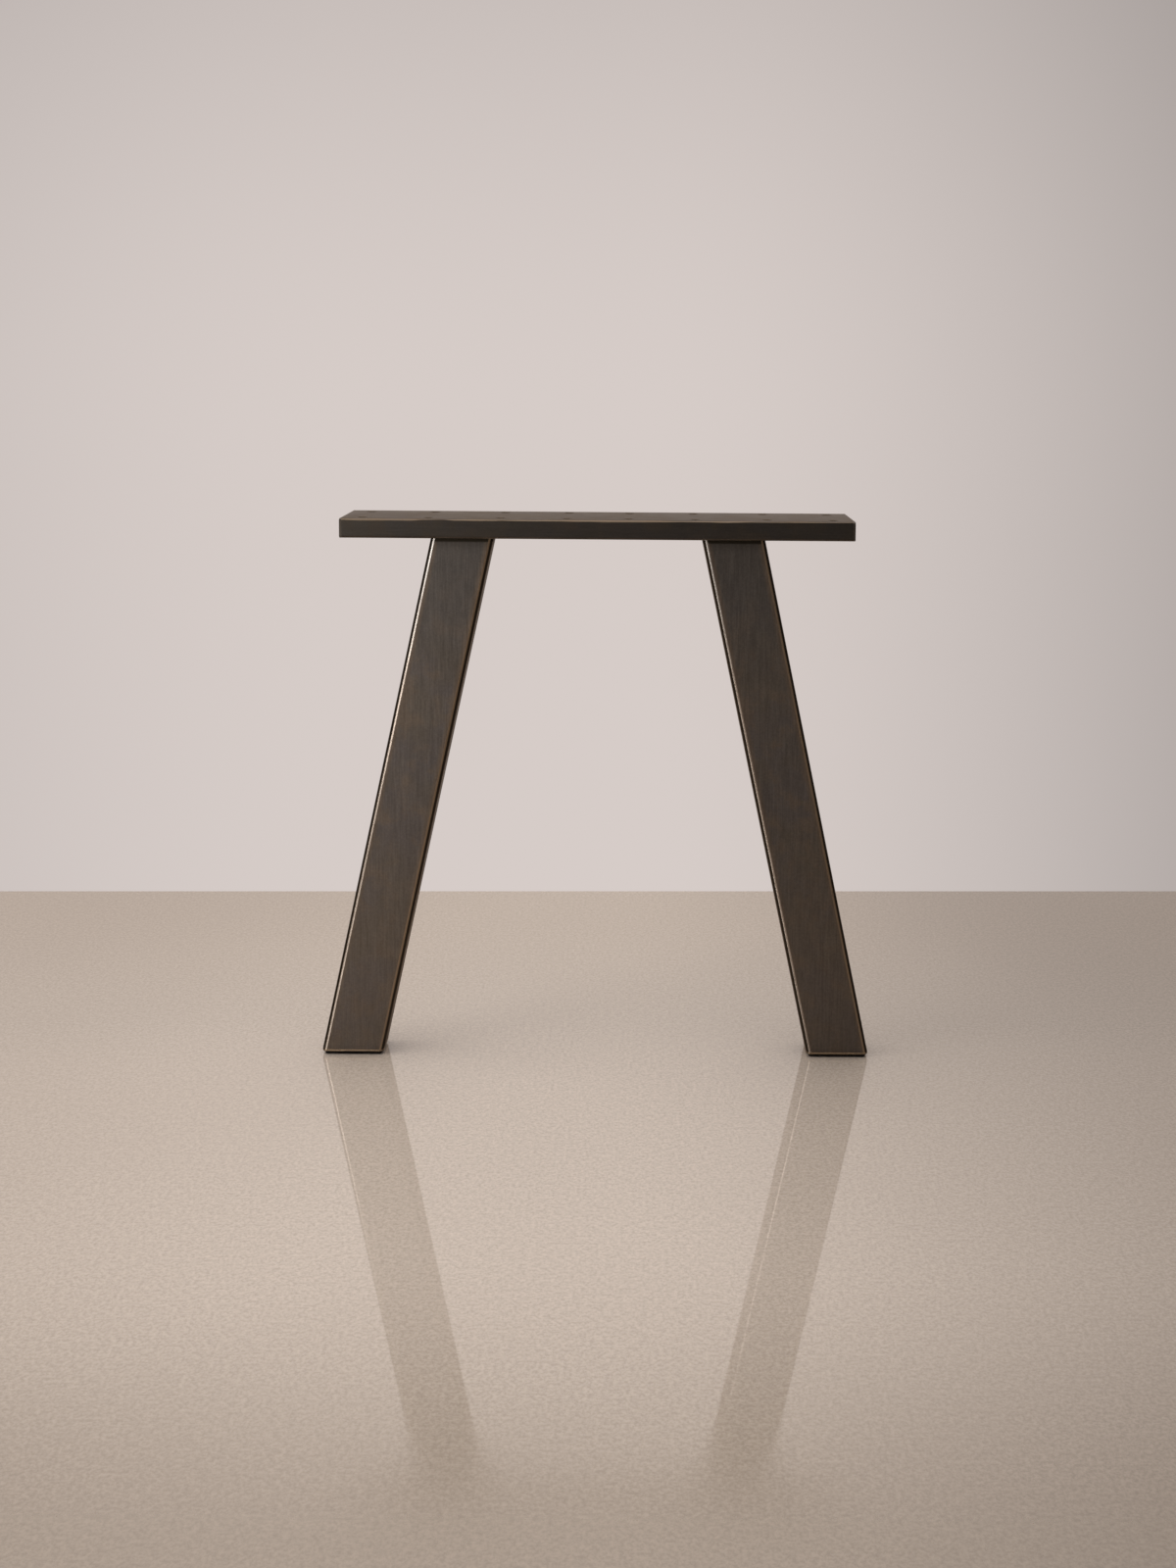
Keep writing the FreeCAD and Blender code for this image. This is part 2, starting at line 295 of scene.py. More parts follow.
class Nodes:
    """Short ways to add shader nodes to one material or world."""

    def __init__(self, tree):
        self.tree = tree
        tree.nodes.clear()

    def add(self, kind, **settings):
        node = self.tree.nodes.new(kind)
        for name, value in settings.items():
            setattr(node, name, value)
        return node

    def put(self, socket, value):
        """Links a socket to the input, or sets a plain value on it."""
        if isinstance(value, bpy.types.NodeSocket):
            self.tree.links.new(value, socket)
        else:
            socket.default_value = value

    def fill(self, node, values):
        """Links or sets several named sockets of a node."""
        for name, value in values.items():
            self.put(node.inputs[name], value)
        return node

    def math(self, operation, *values):
        node = self.add("ShaderNodeMath", operation=operation)
        for socket, value in zip(node.inputs, values):
            self.put(socket, value)
        return node.outputs[0]

    def fold(self, operation, first, *others):
        """One operation over several values, from the first to the last."""
        for value in others:
            first = self.math(operation, first, value)
        return first

    def times(self, *values):
        return self.fold("MULTIPLY", *values)

    def most(self, *values):
        return self.fold("MAXIMUM", *values)

    def ramp(self, value, start, end, low=0.0, high=1.0):
        """A smooth step from low to high as the value goes from start to end."""
        node = self.add("ShaderNodeMapRange", interpolation_type="SMOOTHSTEP")
        span = {"From Min": start, "From Max": end, "To Min": low, "To Max": high}
        self.fill(node, {"Value": value, **span})
        return node.outputs["Result"]

    def band(self, value, rise, fall):
        """One between the value's rise and its fall, and nothing outside them."""
        return self.times(self.ramp(value, *rise), self.math("SUBTRACT", 1.0, self.ramp(value, *fall)))

    def mix(self, factor, first, second, blend="MIX"):
        node = self.add("ShaderNodeMix", data_type="RGBA", blend_type=blend)
        self.put(node.inputs["Factor"], factor)
        self.put(node.inputs[MIX_FIRST], first)
        self.put(node.inputs[MIX_SECOND], second)
        return node.outputs[MIX_RESULT]

    def place(self, vector, rotation=(0, 0, 0), scale=(1, 1, 1)):
        node = self.add("ShaderNodeMapping")
        self.fill(node, {"Vector": vector, "Rotation": rotation, "Scale": scale})
        return node.outputs["Vector"]

    def noise(self, vector, scale=1.0, detail=2.0, roughness=0.5):
        node = self.add("ShaderNodeTexNoise")
        self.fill(node, {"Vector": vector, "Scale": scale, "Detail": detail, "Roughness": roughness})
        return node.outputs["Fac"]

    def grey(self, level):
        node = self.add("ShaderNodeCombineColor")
        for socket in node.inputs:
            self.put(socket, level)
        return node.outputs[0]

    def dot(self, vector, direction):
        node = self.add("ShaderNodeVectorMath", operation="DOT_PRODUCT")
        self.put(node.inputs[0], vector)
        node.inputs[1].default_value = direction
        return node.outputs["Value"]

    def upward(self):
        """How far the surface faces up or down: one when level, nothing when upright."""
        normal = self.add("ShaderNodeNewGeometry").outputs["Normal"]
        return self.math("ABSOLUTE", self.dot(normal, UP))

    def bump(self, height, strength, distance):
        node = self.add("ShaderNodeBump")
        self.fill(node, {"Strength": strength, "Distance": distance, "Height": height})
        return node.outputs["Normal"]

    def principled(self, tint, roughness, others):
        """A Principled shader, with its other sockets by name."""
        node = self.add("ShaderNodeBsdfPrincipled")
        self.fill(node, {"Base Color": tint, "Roughness": roughness, **others})
        return node.outputs["BSDF"]

    def show(self, shader, kind="ShaderNodeOutputMaterial"):
        """Ends the material or world with its shader."""
        self.put(self.add(kind).inputs["Surface"], shader)


def mm(*lengths):
    """Lengths in millimetres, in metres."""
    return tuple(length * MM for length in lengths)


def lift(ramp, offset):
    """A ramp whose start and end lie further on by an offset."""
    start, end, *levels = ramp
    return (start + offset, end + offset, *levels)


def new_material(name):
    material = bpy.data.materials.new(name)
    material.use_nodes = True
    nodes = Nodes(material.node_tree)
    where = nodes.add("ShaderNodeTexCoord").outputs["Object"]
    return material, nodes, where


# Bronzed steel
# A ramp is written as its start and end, then its levels there where they aren't 0 and 1.

COOL_BRONZE = (0.111, 0.098, 0.092, 1)
OLIVE_BRONZE = (0.115, 0.099, 0.084, 1)
WARM_BRONZE = (0.134, 0.105, 0.082, 1)
# Greyer tone of the painted shade on the leg's head under the rail
GREY_BRONZE = (0.090, 0.082, 0.076, 1)
BURNISHED_BRONZE = (0.36, 0.305, 0.26, 1)
TAN_BRONZE = (0.33, 0.24, 0.16, 1)
BRIGHT_TAN = (0.52, 0.385, 0.25, 1)
# Pale tone of the burnished lines at the leg's head, a painted highlight colour
PALE_STEEL = (0.27, 0.255, 0.24, 1)
# Dark tones: patina and painted shade on the legs and plates, painted shade alone on the rail
DARK_PATINA_AND_PAINTED_SHADE = (0.0205, 0.0168, 0.0115, 1)
RAIL_PAINTED_SHADE = (0.0195, 0.0172, 0.0143, 1)
LEG_GRAZING = (0.45, 0.40, 0.35, 1)
RAIL_GRAZING = (0.72, 0.66, 0.59, 1)
METALLIC = 0.92

# Noise, in rounds a metre: brush lines across and along the brush, then the spots
FINE_BRUSH = (900, 40)
BROAD_BRUSH = (350, 14)
CLOUD = dict(scale=13, detail=3, roughness=0.55)
BLOTCH = dict(scale=34, detail=4, roughness=0.6)
GRAIN = dict(scale=420, detail=3, roughness=0.6)
WEAR_DETAIL = 3

OLIVE_CLOUDS = (0.38, 0.62)
WARM_BLOTCHES = (0.46, 0.66, 0, 0.75)
FINE_LINES = (0.3, 0.7, 0.92, 1.08)
BROAD_LINES = (0.3, 0.7, 0.94, 1.06)
GRAIN_SPOTS = (0.3, 0.7, 0.93, 1.07)
FINE_ROUGHNESS = (0.25, 0.75, 0.36, 0.44)
BLOTCH_ROUGHNESS = (0.3, 0.7, -0.03, 0.03)
PATINA_AND_SHADE_DULLS = 0.08
BURNISH_POLISHES = 0.13
BRUSH_BUMP = dict(strength=0.25, distance=0.04 * MM)


def bronze(nodes, where, brush, burnished, painted_shade_and_patina, grazing=LEG_GRAZING, warmed=0.0, cooled=0.0,
           bright=BURNISHED_BRONZE, dark=DARK_PATINA_AND_PAINTED_SHADE):
    """Dark bronze on brushed steel, with masks for its bright, dark, warm and cool places; the dark mask
    carries painted shade as well as patina, and the warm and cool ones carry painted reflection and painted
    shade on the legs.
    """
    fine = nodes.noise(nodes.place(where, *brush(*FINE_BRUSH)), detail=3)
    broad = nodes.noise(nodes.place(where, *brush(*BROAD_BRUSH)), detail=2)
    blotch = nodes.noise(where, **BLOTCH)
    tint = nodes.mix(nodes.ramp(nodes.noise(where, **CLOUD), *OLIVE_CLOUDS), COOL_BRONZE, OLIVE_BRONZE)
    tint = nodes.mix(nodes.ramp(blotch, *WARM_BLOTCHES), tint, WARM_BRONZE)
    tint = nodes.mix(cooled, tint, GREY_BRONZE)
    tint = nodes.mix(warmed, tint, WARM_BRONZE)
    lines = nodes.times(
        nodes.ramp(fine, *FINE_LINES),
        nodes.ramp(broad, *BROAD_LINES),
        nodes.ramp(nodes.noise(where, **GRAIN), *GRAIN_SPOTS),
    )
    tint = nodes.mix(1.0, tint, nodes.grey(lines), "MULTIPLY")
    tint = nodes.mix(painted_shade_and_patina, tint, dark)
    tint = nodes.mix(burnished, tint, bright)

    roughness = nodes.fold(
        "ADD",
        nodes.ramp(fine, *FINE_ROUGHNESS),
        nodes.ramp(blotch, *BLOTCH_ROUGHNESS),
        nodes.times(painted_shade_and_patina, PATINA_AND_SHADE_DULLS),
    )
    roughness = nodes.math("SUBTRACT", roughness, nodes.times(burnished, BURNISH_POLISHES))
    height = nodes.times(fine, nodes.math("SUBTRACT", 1.0, burnished))
    normal = nodes.bump(height, **BRUSH_BUMP)
    others = {"Normal": normal, "Metallic": METALLIC, "Specular Tint": grazing}
    nodes.show(nodes.principled(tint, roughness, others))


def brushed_along(lean, axis):
    """Rotation and scale that draw brush lines out along an axis that leans in the front view."""

    def brush(across, along):
        scale = [across] * len(AXES)
        scale[axis] = along
        return (0, lean, 0), tuple(scale)

    return brush


# Legs

LEG_BRUSH_LEAN = math.radians(5)
LEG_WEAR_SCALE = (60, 60, 16)
GROUND_MARK_SCALE = (60, 60, 1400)

# By the way round the edge, from where the face begins to turn
LEG_EDGE_WANDERS = (0.25, 0.75, *mm(-0.12, 0.12))
LEG_BURNISH_RISE = mm(-0.4, 0.6)
LEG_BURNISH_FALL = mm(2.2, 3.0)
LEG_BURNISH_WEAR = (0.2, 0.6, 0.8, 1.0)
# Painted dark reflection: the rounding beyond the burnished line is darkened
LEG_DARK_RISE = mm(2.2, 3.1)
LEG_DARK_FALL = (*mm(5.6, 7.6), 0.9, 0.0)
LEG_EDGE_WARMS = (*mm(-7, -1), 0.0, 0.85)

# By the place across the face, from left to right; the right edges' burnished lines are weaker and tan, a
# painted shade of light from the left
LEG_HALVES = mm(-5, 5)
RIGHT_EDGE_SHARE = 0.7

# By height: above the tube's foot, above the floor, and above the tube's head
GROUND_BAND = (*mm(4.5, 6.5), 1.0, 0.0)
GROUND_MARKS = (0.3, 0.7, 0.0, 0.25)
# The face darkens a little towards the foot
FOOT_DARKENS = (*mm(60, 380), 0.07, 0.0)
# Painted warm reflection of the floor, low on the leg
FOOT_WARMS = (*mm(40, 400), 0.4, 0.0)
# Painted shade under the rail: a soft dark band and a dark shadow line below the head
HEAD_DARKENS = (*mm(-22, -8), 0.0, 0.3)
HEAD_LINE = (*mm(-9, -6.5), 0.0, 0.7)
# Painted shade under the rail: the head turns greyer and its burnished lines paler
HEAD_COOLS = (*mm(-230, -30), 0.0, 0.85)


def leg_edge(nodes, where, side, low, high):
    """Lengths on a leg: outwards from its face's middle, and round its edge from where the face turns."""
    lean, upright = math.sin(LEG_SPLAY), math.cos(LEG_SPLAY)
    centre = (leg_reach(low, high) - LEG_WIDTH / 2 / upright) * upright + low.z * lean
    outward = nodes.math("SUBTRACT", nodes.dot(where, (side * upright, 0, lean)), centre)
    depth = nodes.dot(where, ACROSS)
    past_face = nodes.math("SUBTRACT", nodes.math("ABSOLUTE", outward), LEG_WIDTH / 2 - LEG_CORNER)
    past_side = nodes.math("SUBTRACT", nodes.math("ABSOLUTE", depth), high.y - LEG_CORNER)
    turn = nodes.math("ARCTAN2", nodes.most(past_face, 0.0), nodes.most(past_side, 0.0))
    round_edge = nodes.math("ADD", nodes.math("MINIMUM", past_face, 0.0), nodes.times(turn, LEG_CORNER))
    return outward, round_edge


def leg_material(side_name, side):
    """Steel for one leg: burnished lines where its faces turn, paler at the head as a painted highlight and
    weaker and tan on the right as painted shade, dark roundings beyond them as a painted dark reflection,
    and a grey head of painted shade under the rail.
    """
    material, nodes, where = new_material(f"bronzed_{side_name}_leg")
    low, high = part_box(f"{side_name}_leg")
    outward, round_edge = leg_edge(nodes, where, side, low, high)
    to_right = nodes.times(outward, side)
    height = nodes.dot(where, UP)
    worn = nodes.noise(nodes.place(where, scale=LEG_WEAR_SCALE), detail=WEAR_DETAIL)
    round_edge = nodes.math("ADD", round_edge, nodes.ramp(worn, *LEG_EDGE_WANDERS))
    burnished = nodes.times(
        nodes.band(round_edge, LEG_BURNISH_RISE, LEG_BURNISH_FALL),
        nodes.ramp(worn, *LEG_BURNISH_WEAR),
        # Weaker burnished lines on the right edges: painted shade
        nodes.ramp(to_right, *LEG_HALVES, 1.0, RIGHT_EDGE_SHARE),
    )

    # Painted dark reflection on the roundings beyond the burnished lines
    rounding = nodes.times(nodes.ramp(round_edge, *LEG_DARK_RISE), nodes.ramp(round_edge, *LEG_DARK_FALL))
    marks = nodes.noise(nodes.place(where, scale=GROUND_MARK_SCALE), detail=WEAR_DETAIL)
    ground = nodes.times(nodes.ramp(height, *lift(GROUND_BAND, low.z)), nodes.ramp(marks, *GROUND_MARKS))
    # Painted shade and a painted shadow line under the rail, and a slight darkening towards the foot
    ends = nodes.fold(
        "ADD",
        nodes.ramp(height, *lift(HEAD_DARKENS, high.z)),
        nodes.ramp(height, *lift(HEAD_LINE, high.z)),
        nodes.ramp(height, *FOOT_DARKENS),
    )
    # Dark grinding marks near the foot, with painted shade and painted dark reflection
    painted_shade_and_patina = nodes.most(rounding, ground, ends)

    # Warmer towards the edges, and a painted warm reflection of the floor low down
    warmed = nodes.most(nodes.ramp(round_edge, *LEG_EDGE_WARMS), nodes.ramp(height, *FOOT_WARMS))
    cooled = nodes.ramp(height, *lift(HEAD_COOLS, high.z))
    # The burnished lines turn pale towards the head, a painted highlight, and tan on the right edges, a
    # painted shade
    bright = nodes.mix(cooled, BURNISHED_BRONZE, PALE_STEEL)
    bright = nodes.mix(nodes.ramp(to_right, *LEG_HALVES), bright, TAN_BRONZE)
    brush = brushed_along(-side * LEG_BRUSH_LEAN, AXES.index(UP))
    bronze(nodes, where, brush, burnished, painted_shade_and_patina, warmed=warmed, cooled=cooled, bright=bright)
    return material


# Rail

RAIL_WEAR_SCALE = (22, 120, 120)
LEG_HEAD_PLACE = 176 * MM
# Reach of the painted shade round each hole, past its radius
HOLE_RIM = (*mm(1.2, 2.4), 1.0, 0.0)

# By how far the surface faces up or down
RAIL_EDGE_WANDERS = (0.25, 0.75, -0.1, 0.1)
RAIL_BURNISH_RISE = (0.2, 0.45)
RAIL_BURNISH_FALL = (0.75, 0.97)
# Painted shade: upright faces darker than level ones
UPRIGHT_DARKENS = (0.3, 0.85)
UPRIGHT_SHARE = 0.74
LOW_LINE_TURN = (0.5, 0.95, 1.0, 0.0)

# By height above the rail's underside, and by the way along the rail from the middle of a leg's head
RAIL_BURNISH_HEIGHT = (*mm(6, 14), 0.08, 0.5)
# Painted shadow line just above the underside
LOW_LINE = (*mm(1, 3), 0.95, 0.0)
RAIL_WARM_HEIGHT = (*mm(4, 16), 1.0, 0.0)
RAIL_WARM_REACH = (*mm(30, 55), 0.35, 0.0)


def hole_mask(nodes, where):
    """One inside the screw holes and on their rims, and nothing elsewhere; it paints shade round the holes.
    """
    places, radius = hole_places()
    beside = nodes.math("ABSOLUTE", nodes.dot(where, ALONG))
    beyond = nodes.math("ABSOLUTE", nodes.dot(where, ACROSS))
    mask = 0.0
    for x, y in places:
        if x > 0 and y > 0:
            off = nodes.add("ShaderNodeCombineXYZ")
            nodes.put(off.inputs["X"], nodes.math("SUBTRACT", beside, x))
            nodes.put(off.inputs["Y"], nodes.math("SUBTRACT", beyond, y))
            reach = nodes.add("ShaderNodeVectorMath", operation="LENGTH")
            nodes.put(reach.inputs[0], off.outputs["Vector"])
            mask = nodes.most(mask, nodes.ramp(reach.outputs["Value"], *lift(HOLE_RIM, radius)))
    return mask


def rail_material():
    """Steel for the rail: brushed along it, its long edges burnished and its front warm by the legs; its
    upright faces, the rims of its holes and a line along its lower edge are darkened as painted shade.
    """
    material, nodes, where = new_material("bronzed_rail")
    low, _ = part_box("top_rail")
    height = nodes.dot(where, UP)
    worn = nodes.noise(nodes.place(where, scale=RAIL_WEAR_SCALE), detail=WEAR_DETAIL)
    upward = nodes.math("ADD", nodes.upward(), nodes.ramp(worn, *RAIL_EDGE_WANDERS))
    burnished = nodes.times(
        nodes.band(upward, RAIL_BURNISH_RISE, RAIL_BURNISH_FALL),
        nodes.ramp(height, *lift(RAIL_BURNISH_HEIGHT, low.z)),
    )
    # Painted shade: a dark line along the lower edge, darker upright faces and dark rings round the holes
    low_line = nodes.times(nodes.ramp(height, *lift(LOW_LINE, low.z)), nodes.ramp(upward, *LOW_LINE_TURN))
    upright = nodes.ramp(upward, *UPRIGHT_DARKENS, UPRIGHT_SHARE, 0.0)
    painted_shade_and_patina = nodes.most(upright, hole_mask(nodes, where), low_line)
    from_middle = nodes.math("ABSOLUTE", nodes.dot(where, ALONG))
    from_leg = nodes.math("ABSOLUTE", nodes.math("SUBTRACT", from_middle, LEG_HEAD_PLACE))
    warmed = nodes.times(
        nodes.ramp(from_leg, *RAIL_WARM_REACH),
        nodes.ramp(height, *lift(RAIL_WARM_HEIGHT, low.z)),
    )
    brush = brushed_along(0, AXES.index(ALONG))
    tones = dict(grazing=RAIL_GRAZING, warmed=warmed, bright=TAN_BRONZE, dark=RAIL_PAINTED_SHADE)
    bronze(nodes, where, brush, burnished, painted_shade_and_patina, **tones)
    return material


# Plates and pads

PLATE_MARGIN = 1.6 * MM
PLATE_WEAR_SCALE = 120
PLATE_WEAR = (0.3, 0.6)
PLATE_TONES = {
    "end_plate": dict(share=0.12, dark=UPRIGHT_SHARE, warmed=0.0, bright=BURNISHED_BRONZE),
    "base_plate": dict(share=0.9, dark=0.0, warmed=1.0, bright=BRIGHT_TAN),
}

RUBBER_BLACK = (0.002, 0.0018, 0.0015, 1)
RUBBER_GREY = (0.005, 0.0044, 0.004, 1)
RUBBER_GRAIN = dict(scale=1400, detail=3, roughness=0.6)
RUBBER_CLOUD = dict(scale=60, detail=3)
RUBBER_CLOUDS = (0.35, 0.7)
RUBBER_ROUGHNESS = (0.3, 0.7, 0.68, 0.86)
RUBBER_BUMP = dict(strength=0.4, distance=0.1 * MM)
RUBBER_SPECULAR = 0.12


def plate_material(name, low, high, share, dark, warmed, bright):
    """Steel for a small plate: burnished near the edges of its box, and dark where it stands upright, a
    painted shade.
    """
    material, nodes, where = new_material(name)
    worn = nodes.noise(where, scale=PLATE_WEAR_SCALE, detail=WEAR_DETAIL)
    near = []
    for axis, direction in enumerate(AXES):
        middle, half = (low[axis] + high[axis]) / 2, (high[axis] - low[axis]) / 2
        off_middle = nodes.math("ABSOLUTE", nodes.math("SUBTRACT", nodes.dot(where, direction), middle))
        near.append(nodes.ramp(off_middle, half - PLATE_MARGIN, half - PLATE_MARGIN / 3))
    edges = [nodes.times(near[first], near[second]) for first, second in ((0, 1), (1, 2), (0, 2))]
    burnished = nodes.times(nodes.most(*edges), nodes.ramp(worn, *PLATE_WEAR, share / 2, share))
    # Painted shade: upright faces darker than level ones
    painted_shade_and_patina = nodes.ramp(nodes.upward(), *UPRIGHT_DARKENS, dark, 0.0)
    brush = brushed_along(0, AXES.index(UP))
    bronze(nodes, where, brush, burnished, painted_shade_and_patina, RAIL_GRAZING, warmed, bright=bright)
    return material


def rubber_material():
    """Matt black rubber with a fine grain."""
    material, nodes, where = new_material("black_pad_rubber")
    grain = nodes.noise(where, **RUBBER_GRAIN)
    cloud = nodes.noise(where, **RUBBER_CLOUD)
    tint = nodes.mix(nodes.ramp(cloud, *RUBBER_CLOUDS), RUBBER_BLACK, RUBBER_GREY)
    roughness = nodes.ramp(grain, *RUBBER_ROUGHNESS)
    normal = nodes.bump(grain, **RUBBER_BUMP)
    others = {"Normal": normal, "Specular IOR Level": RUBBER_SPECULAR}
    nodes.show(nodes.principled(tint, roughness, others))
    return material


def dress(piece, material):
    piece.data.materials.clear()
    piece.data.materials.append(material)


dress(rail, rail_material())
rubber = rubber_material()
for side_name, side in SIDES.items():
    dress(legs[side_name], leg_material(side_name, side))
    dress(frame["nodes"][f"{side_name}_foot_pad"], rubber)
    for part, tones in PLATE_TONES.items():
        node = f"{side_name}_{part}"
        dress(frame["nodes"][node], plate_material(f"bronzed_{node}", *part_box(node), **tones))

# Stage
# The studio is only floor, wall, world and two lamps. Ramps go by metres on the floor and the wall, and by
# the direction in the world.

STAGE_REACH = 7.0
WHITE = (1, 1, 1, 1)

FLOOR_PALE = (0.604, 0.522, 0.449, 1)
FLOOR_PALER = (0.627, 0.543, 0.467, 1)
FLOOR_SPECK = (0.482, 0.411, 0.345, 1)
FLOOR_IOR = 2.0
SPECK = dict(scale=260, detail=4, roughness=0.75)
FLOOR_CLOUD = dict(scale=2.2, detail=3)
FLOOR_GRAIN = dict(scale=120, detail=2, roughness=0.6)
FLOOR_CLOUDS = (0.35, 0.65)
FLOOR_SPECKS = (0.38, 0.64, 0, 0.9)
FLOOR_GRAINS = (0.36, 0.64, 0.965, 1.035)
FLOOR_POLISH = (0.3, 0.7, 0.015, 0.035)
FLOOR_DULL_IN_FRONT = (-1.12, -0.77, 0.5, 0.0)

# Painted shade on the floor, darker in front, to the sides and behind, and one painted lighter band just in
# front of the object: the way each goes, its rise and fall along it, and its tint
FLOOR_PAINTED_LIGHT_AND_SHADE = [
    (ACROSS, (-2.8, -1.1), (-1.2, -0.5), (0.58, 0.54, 0.49, 1)),
    (ALONG, (0.0, 0.8), (1.0, 2.4), (0.64, 0.63, 0.62, 1)),
    (ALONG, (-2.4, -1.0), (-0.9, -0.1), (0.79, 0.775, 0.76, 1)),
    (ACROSS, (-0.1, 0.7), (0.9, 1.8), (0.90, 0.87, 0.83, 1)),
    (ACROSS, (-0.95, -0.6), (-0.12, 0.12), (1.07, 1.065, 1.065, 1)),
]

WALL_LEFT_Y, WALL_RIGHT_Y = 0.534, 0.841
WALL_COLOUR = (0.672, 0.604, 0.577, 1)
# Painted falloff of the wall's glow to its sides and upwards
WALL_DIMS_RIGHT = (0.05, 1.9, 1.0, 0.4)
WALL_DIMS_LEFT = (-2.2, -0.4, 0.7, 1.0)
WALL_DIMS_UP = (0.8, 2.6, 1.0, 0.6)
WALL_CLEARS_UP = (1.7, 3.5)

ROOM_DIMS_RIGHT = (0.02, 0.62, 1.0, 0.45)
ROOM_DIMS_LEFT = (-0.7, -0.12, 0.75, 1.0)
ROOM_DIMS_UP = (-0.02, 0.45, 1.0, 0.62)
ROOM_DIMS_IN_FRONT = (-0.6, 0.35, 0.52, 1.0)
CEILING_COLOUR = (1.0, 0.98, 0.96, 1)
CEILING_GLOW = (0.5, 0.95, 0.0, 1.1)
PLAIN_LEVEL = 0.95

# The strip shows only in the gloss of the steel, and the wash lights only matt surfaces, such as the floor,
# so that the tones of the legs and the shadows of the feet don't depend on each other.
LAMP_COLOUR = (1.0, 0.98, 0.96)
LAMPS = {
    "left_strip": dict(
        place=(-1.5, -2.13, 0.8), target=(-0.1, 0, 0.4), size=(0.9, 1.5), power=26, matt=False, gloss=True
    ),
    "left_wash": dict(
        place=(-2.1, -0.4, 2.3), target=(0, 0, 0), size=(2.2, 2.2), power=32, matt=True, gloss=False
    ),
}


def add_stage(name, corners):
    """A flat four-cornered piece of the studio with a new material."""
    mesh = bmesh.new()
    mesh.faces.new([mesh.verts.new(corner) for corner in corners])
    piece = add_object(name, mesh)
    material, nodes, where = new_material(f"pale_{name}")
    piece.data.materials.append(material)
    return piece, nodes, where


def blend(nodes, factor, first, second):
    """Two shaders in one, the second by the factor."""
    node = nodes.add("ShaderNodeMixShader")
    for socket, value in zip(node.inputs, (factor, first, second)):
        nodes.put(socket, value)
    return node.outputs["Shader"]


def face_one_way(nodes, surface, clear=0.0):
    """Ends a stage material that shows from its front, where it isn't clear, and is clear from behind."""
    behind = nodes.add("ShaderNodeNewGeometry").outputs["Backfacing"]
    nothing = nodes.add("ShaderNodeBsdfTransparent").outputs["BSDF"]
    nodes.show(blend(nodes, nodes.most(behind, clear), surface, nothing))


def make_floor():
    """A plain pale polished floor with painted shade darker to the sides, in front and behind, and a
    painted lighter band before the object; duller in front, where mirror images fade.
    """
    reach = STAGE_REACH
    corners = [(-reach, -reach, 0), (reach, -reach, 0), (reach, reach, 0), (-reach, reach, 0)]
    _, nodes, where = add_stage("floor", corners)
    speck = nodes.noise(where, **SPECK)
    cloud = nodes.noise(where, **FLOOR_CLOUD)
    grain = nodes.noise(where, **FLOOR_GRAIN)
    tint = nodes.mix(nodes.ramp(cloud, *FLOOR_CLOUDS), FLOOR_PALE, FLOOR_PALER)
    tint = nodes.mix(nodes.ramp(speck, *FLOOR_SPECKS), tint, FLOOR_SPECK)
    tint = nodes.mix(1.0, tint, nodes.grey(nodes.ramp(grain, *FLOOR_GRAINS)), "MULTIPLY")
    # Painted shade and painted light on the floor
    for direction, rise, fall, painted_tint in FLOOR_PAINTED_LIGHT_AND_SHADE:
        along = nodes.dot(where, direction)
        amount = nodes.math("MINIMUM", nodes.ramp(along, *rise), nodes.ramp(along, *fall, 1.0, 0.0))
        tint = nodes.mix(1.0, tint, nodes.mix(amount, WHITE, painted_tint), "MULTIPLY")
    dull = nodes.ramp(nodes.dot(where, ACROSS), *FLOOR_DULL_IN_FRONT)
    roughness = nodes.math("ADD", dull, nodes.ramp(speck, *FLOOR_POLISH))
    face_one_way(nodes, nodes.principled(tint, roughness, {"IOR": FLOOR_IOR}))


def make_wall():
    """A plain pale glowing wall behind the object that fades to its sides and upwards, its glow dimmed
    there as a painted falloff of light, and lights nothing matt.
    """
    reach = STAGE_REACH
    left, right = WALL_LEFT_Y, WALL_RIGHT_Y
    corners = [(-reach, left, 0), (reach, right, 0), (reach, right, reach), (-reach, left, reach)]
    wall, nodes, where = add_stage("wall", corners)
    wall.visible_diffuse = False
    wall.visible_shadow = False
    to_right, up = nodes.dot(where, ALONG), nodes.dot(where, UP)
    # Painted falloff of light on the glowing wall
    level = nodes.times(
        nodes.ramp(to_right, *WALL_DIMS_RIGHT),
        nodes.ramp(to_right, *WALL_DIMS_LEFT),
        nodes.ramp(up, *WALL_DIMS_UP),
    )
    glow = nodes.fill(nodes.add("ShaderNodeEmission"), {"Color": WALL_COLOUR, "Strength": level})
    face_one_way(nodes, glow.outputs["Emission"], nodes.ramp(up, *WALL_CLEARS_UP))


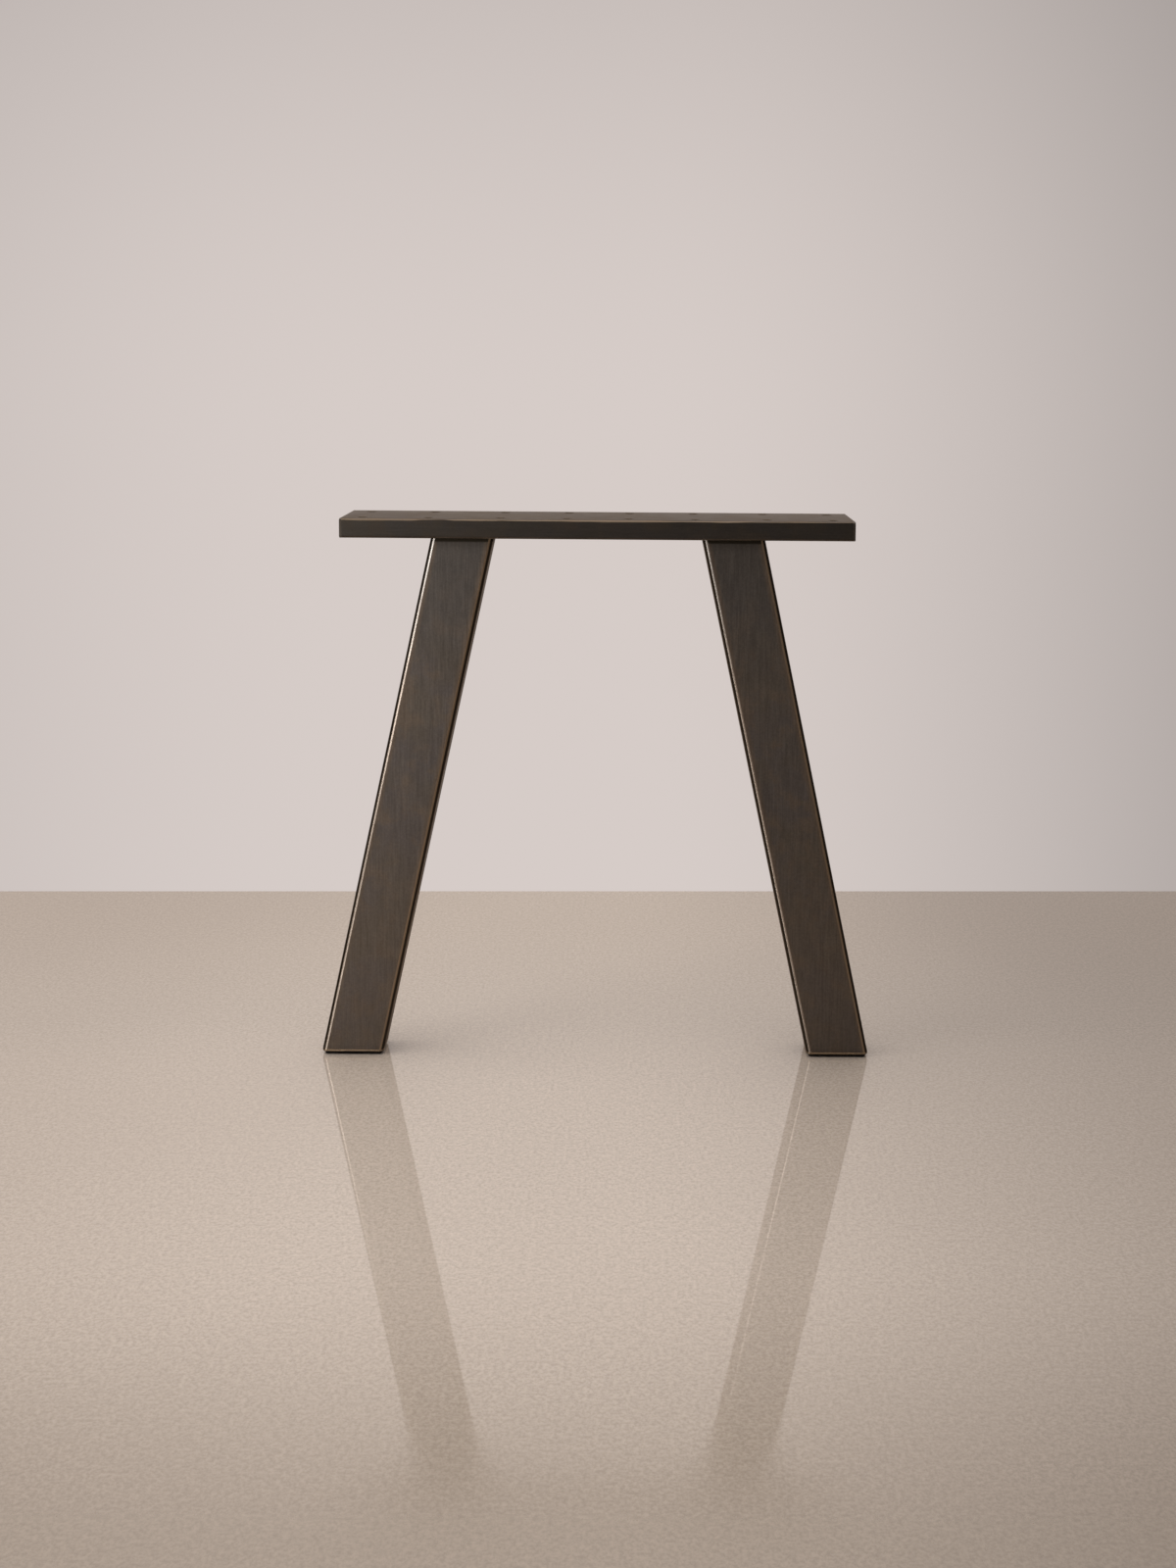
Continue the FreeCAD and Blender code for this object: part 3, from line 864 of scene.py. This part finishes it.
def make_world():
    """A pale room with a soft light ceiling, dimmer in front and to the sides; the camera sees it plain."""
    world = bpy.data.worlds.new("studio")
    world.use_nodes = True
    nodes = Nodes(world.node_tree)

    def backdrop(colour, strength):
        node = nodes.add("ShaderNodeBackground")
        return nodes.fill(node, {"Color": colour, "Strength": strength}).outputs["Background"]

    toward = nodes.add("ShaderNodeTexCoord").outputs["Generated"]
    right, behind, up = (nodes.dot(toward, axis) for axis in AXES)
    level = nodes.times(
        nodes.ramp(right, *ROOM_DIMS_RIGHT),
        nodes.ramp(right, *ROOM_DIMS_LEFT),
        nodes.ramp(up, *ROOM_DIMS_UP),
        nodes.ramp(behind, *ROOM_DIMS_IN_FRONT),
    )
    lit = nodes.add("ShaderNodeAddShader")
    nodes.put(lit.inputs[0], backdrop(WALL_COLOUR, level))
    nodes.put(lit.inputs[1], backdrop(CEILING_COLOUR, nodes.ramp(up, *CEILING_GLOW)))
    by_camera = nodes.add("ShaderNodeLightPath").outputs["Is Camera Ray"]
    seen = blend(nodes, by_camera, lit.outputs["Shader"], backdrop(WALL_COLOUR, PLAIN_LEVEL))
    nodes.show(seen, "ShaderNodeOutputWorld")
    bpy.context.scene.world = world


def add_lamp(name, place, target, size, power, matt, gloss):
    """A soft rectangular lamp that faces its target, for matt or glossy surfaces; the camera misses it."""
    light = bpy.data.lights.new(name, "AREA")
    light.shape = "RECTANGLE"
    light.size, light.size_y = size
    light.energy = power
    light.color = LAMP_COLOUR
    lamp = bpy.data.objects.new(name, light)
    lamp.location = place
    lamp.rotation_euler = (Vector(target) - Vector(place)).to_track_quat("-Z", "Y").to_euler()
    lamp.visible_camera = False
    lamp.visible_diffuse = matt
    lamp.visible_glossy = gloss
    bpy.context.scene.collection.objects.link(lamp)


make_floor()
make_wall()
make_world()
for name, settings in LAMPS.items():
    add_lamp(name, **settings)

# Camera
# Place, angles and focal length were worked out from the corners of the rail, the legs and the feet.

PHOTO_LONG_SIDE = 1600
SENSOR = 36.0
FOCAL_PIXELS = 1769.6
CAMERA_PLACE = (0.05, -2.2633, 0.9308)
CAMERA_SHIFT = (-0.035, -0.18)
PITCH_DOWN, YAW, ROLL = math.radians(4.84), math.radians(-0.20), math.radians(0.45)

lens = bpy.data.cameras.new("camera")
lens.sensor_fit = "AUTO"
lens.sensor_width = SENSOR
lens.lens = FOCAL_PIXELS * SENSOR / PHOTO_LONG_SIDE
lens.shift_x, lens.shift_y = CAMERA_SHIFT
camera = bpy.data.objects.new("camera", lens)
tilt = Matrix.Rotation(QUARTER_TURN - PITCH_DOWN, 4, "X")
turn = Matrix.Rotation(YAW, 4, "Z") @ tilt @ Matrix.Rotation(ROLL, 4, "Z")
camera.matrix_world = Matrix.Translation(CAMERA_PLACE) @ turn
bpy.context.scene.collection.objects.link(camera)
bpy.context.scene.camera = camera
bpy.context.scene.view_settings.view_transform = "Standard"
